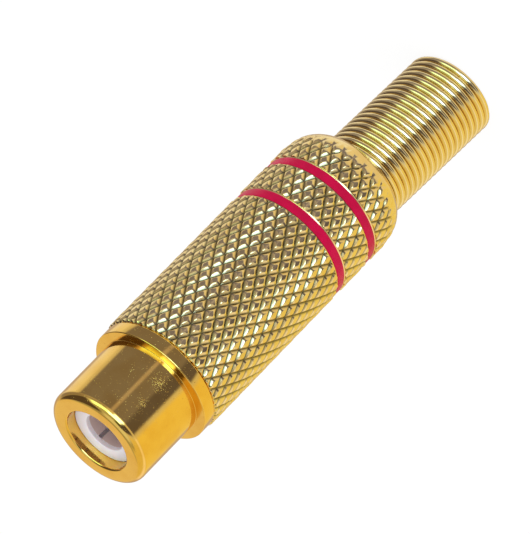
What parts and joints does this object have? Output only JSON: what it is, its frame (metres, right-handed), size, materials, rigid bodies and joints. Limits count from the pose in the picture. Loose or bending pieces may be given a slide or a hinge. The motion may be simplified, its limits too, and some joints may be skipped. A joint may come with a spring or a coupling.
{
  "type": "in-line phono socket",
  "caption": "Gold-plated in-line phono socket with a knurled screw-on shell, inlaid colour rings and a coil-spring cable guard.",
  "frame": {"origin": "centre of the spring's flat end, on the surface that the part stands on", "axes": "+Z along the part's axis, from the cable end up to the mouth; -X towards the arm of the cable clamp inside"},
  "size_m": [0.01, 0.01, 0.0408],
  "materials": {
    "gold_plate": "polished gold plate on turned brass",
    "knurled_gold": "gold plate on rolled diamond knurl",
    "tag_plate": "gold-plated pressed sheet",
    "contact_metal": "dull plated contact tube",
    "spring_gold": "gold-plated spring wire",
    "white_nylon": "moulded white nylon",
    "brown_fibre": "pressed insulating fibre",
    "clear_sleeve": "soft plastic tube",
    "crimson_enamel": "crimson enamel filled into a groove"
  },
  "bodies": {
    "cable_guard": {"spring_guard": "spring_gold", "sleeve": "clear_sleeve"},
    "screw_shell": {"shell": "knurled_gold", "ring_front": "crimson_enamel", "ring_rear": "crimson_enamel"},
    "socket_core": {"socket_body": "gold_plate", "insulator": "white_nylon", "centre_contact": "contact_metal", "insulating_disc": "brown_fibre", "ground_clamp": "tag_plate"}
  },
  "joints": [
    {"name": "shell_turn", "type": "hinge", "parent": "cable_guard", "child": "screw_shell", "pos_m": [0, 0, 0.0223], "axis": [0, 0, -1], "range_deg": [0, 1800]},
    {"name": "core_rise", "type": "slide", "parent": "cable_guard", "child": "socket_core", "axis": [0, 0, 1], "range_m": [0, 0.00375]}
  ],
  "couplings": [
    {"joint": "core_rise", "follows": "shell_turn", "m_per_rad": 0.00011936}
  ]
}
